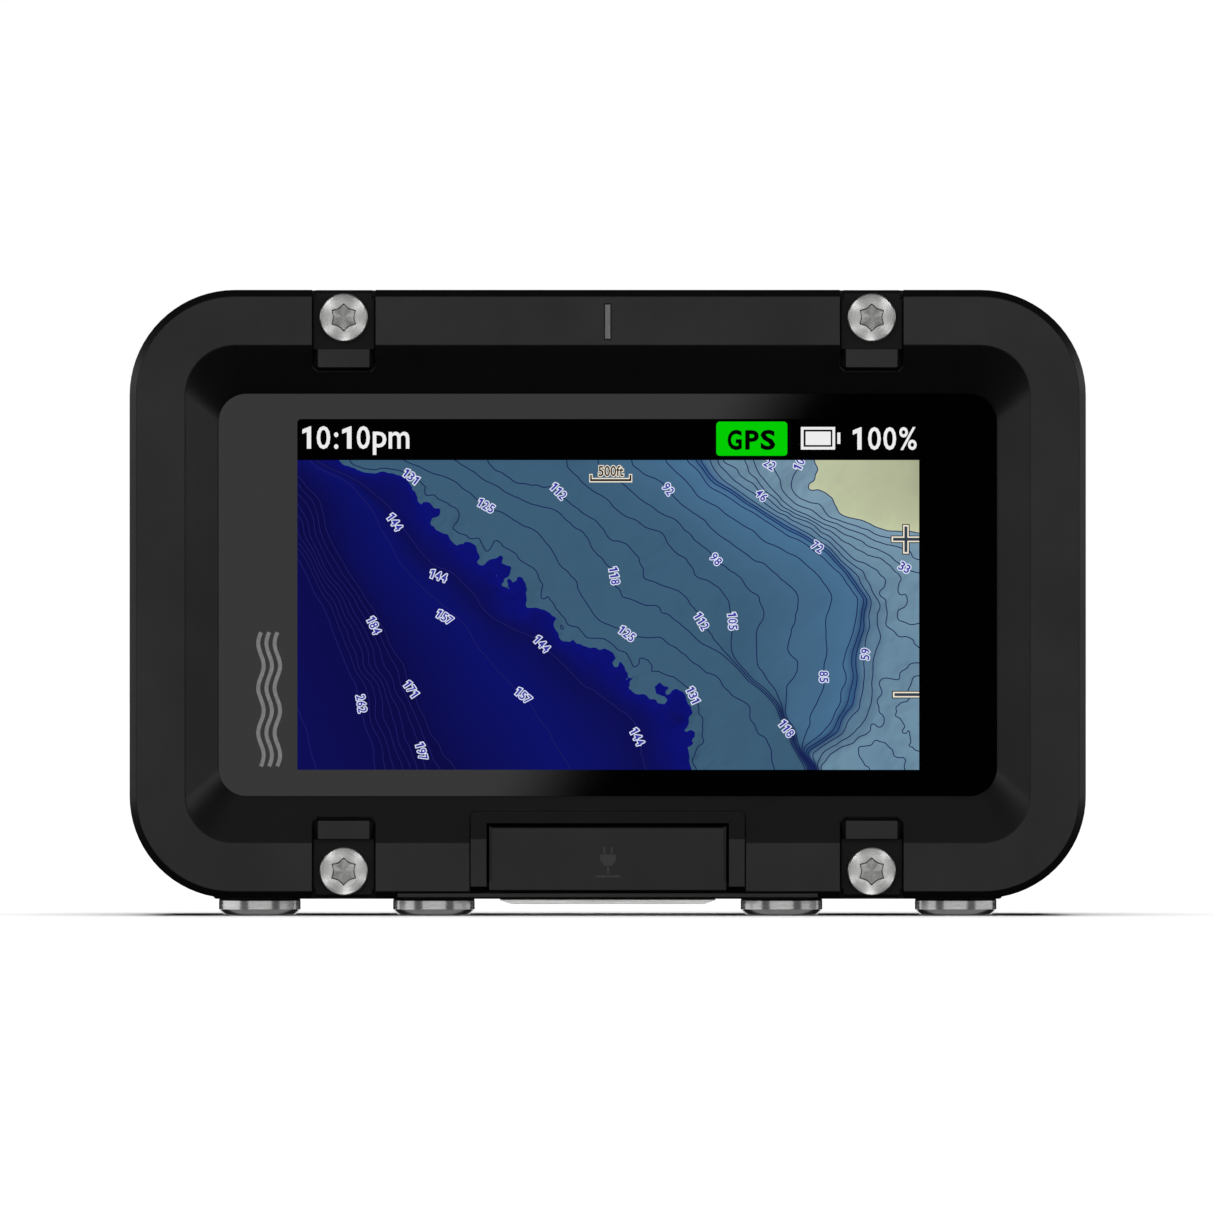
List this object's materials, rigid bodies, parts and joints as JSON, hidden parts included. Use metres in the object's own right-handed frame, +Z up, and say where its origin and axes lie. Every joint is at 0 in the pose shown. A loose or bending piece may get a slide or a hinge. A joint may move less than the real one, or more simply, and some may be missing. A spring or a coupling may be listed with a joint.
{
  "type": "chartplotter display",
  "caption": "Sealed rectangular marine chartplotter display: rounded black case, recessed glass, corner clamps, steel push-buttons in the lower edge and a charging hatch.",
  "frame": {"origin": "under the middle of the case, on the plane of the four button faces that it stands on", "axes": "+X to the viewer's right along the case's length, +Y from the glass to the back, +Z up"},
  "size_m": [0.146, 0.037, 0.0955],
  "materials": {
    "case_black": "fine moulded texture, satin",
    "clamp_black": "moulded, satin",
    "stainless": "turned stainless",
    "spring_steel": "drawn wire and pressed sheet",
    "seal_rubber": "matt",
    "cover_glass": "polished, black printed border",
    "display": "lit panel behind glass",
    "index_grey": "paint-filled groove",
    "dark_plastic": "moulded, matt",
    "board_green": "solder mask",
    "tin_plate": "tin plate",
    "aluminium": "bead blasted",
    "anodised_black": "black anodised",
    "ceramic": "matt",
    "cell_wrap": "shrink wrap"
  },
  "bodies": {
    "housing": {"front_bezel": "case_black", "port_frame": "case_black", "rear_housing": "case_black", "keel_plate": "case_black", "clamp_top_left": "clamp_black", "clamp_top_right": "clamp_black", "clamp_bottom_left": "clamp_black", "clamp_bottom_right": "clamp_black", "clamp_screw_top_left": "stainless", "clamp_screw_top_right": "stainless", "clamp_screw_bottom_left": "stainless", "clamp_screw_bottom_right": "stainless", "dock_plate": "stainless", "hatch_hinge_pin": "stainless", "depth_sensor": "stainless", "button_spring_1": "spring_steel", "button_spring_2": "spring_steel", "button_spring_3": "spring_steel", "button_spring_4": "spring_steel", "button_bushing_1": "spring_steel", "button_bushing_2": "spring_steel", "button_bushing_3": "spring_steel", "button_bushing_4": "spring_steel", "glass_gasket": "seal_rubber", "housing_seal": "seal_rubber", "button_o_ring_1": "seal_rubber", "button_o_ring_2": "seal_rubber", "button_o_ring_3": "seal_rubber", "button_o_ring_4": "seal_rubber", "cover_glass": "cover_glass", "lcd_panel": "display", "index_mark": "index_grey", "light_sensor": "dark_plastic", "charge_connector": "dark_plastic", "battery_tray": "dark_plastic", "tact_switch_1": "dark_plastic", "tact_switch_2": "dark_plastic", "tact_switch_3": "dark_plastic", "tact_switch_4": "dark_plastic", "main_board": "board_green", "button_board": "board_green", "shield_can": "tin_plate", "lcd_bracket": "aluminium", "mount_plate": "anodised_black", "mount_screw_1": "anodised_black", "mount_screw_2": "anodised_black", "mount_screw_3": "anodised_black", "mount_screw_4": "anodised_black", "gps_antenna": "ceramic", "battery_pack": "cell_wrap"},
    "button_1": {"button_cap_1": "stainless", "button_clip_1": "spring_steel"},
    "button_2": {"button_cap_2": "stainless", "button_clip_2": "spring_steel"},
    "button_3": {"button_cap_3": "stainless", "button_clip_3": "spring_steel"},
    "button_4": {"button_cap_4": "stainless", "button_clip_4": "spring_steel"},
    "hatch": {"port_hatch": "case_black", "hatch_seal": "seal_rubber"}
  },
  "joints": [
    {"name": "button_1_press", "type": "slide", "parent": "housing", "child": "button_1", "axis": [0, 0, 1], "range_m": [0, 0.001], "stiffness_N_per_m": 1500, "springref_m": -0.004, "deforming": ["button_spring_1"]},
    {"name": "button_2_press", "type": "slide", "parent": "housing", "child": "button_2", "axis": [0, 0, 1], "range_m": [0, 0.001], "stiffness_N_per_m": 1500, "springref_m": -0.004, "deforming": ["button_spring_2"]},
    {"name": "button_3_press", "type": "slide", "parent": "housing", "child": "button_3", "axis": [0, 0, 1], "range_m": [0, 0.001], "stiffness_N_per_m": 1500, "springref_m": -0.004, "deforming": ["button_spring_3"]},
    {"name": "button_4_press", "type": "slide", "parent": "housing", "child": "button_4", "axis": [0, 0, 1], "range_m": [0, 0.001], "stiffness_N_per_m": 1500, "springref_m": -0.004, "deforming": ["button_spring_4"]},
    {"name": "hatch_hinge", "type": "hinge", "parent": "housing", "child": "hatch", "pos_m": [0, -0.01705, 0.0046], "axis": [1, 0, 0], "range_deg": [0, 95]}
  ]
}
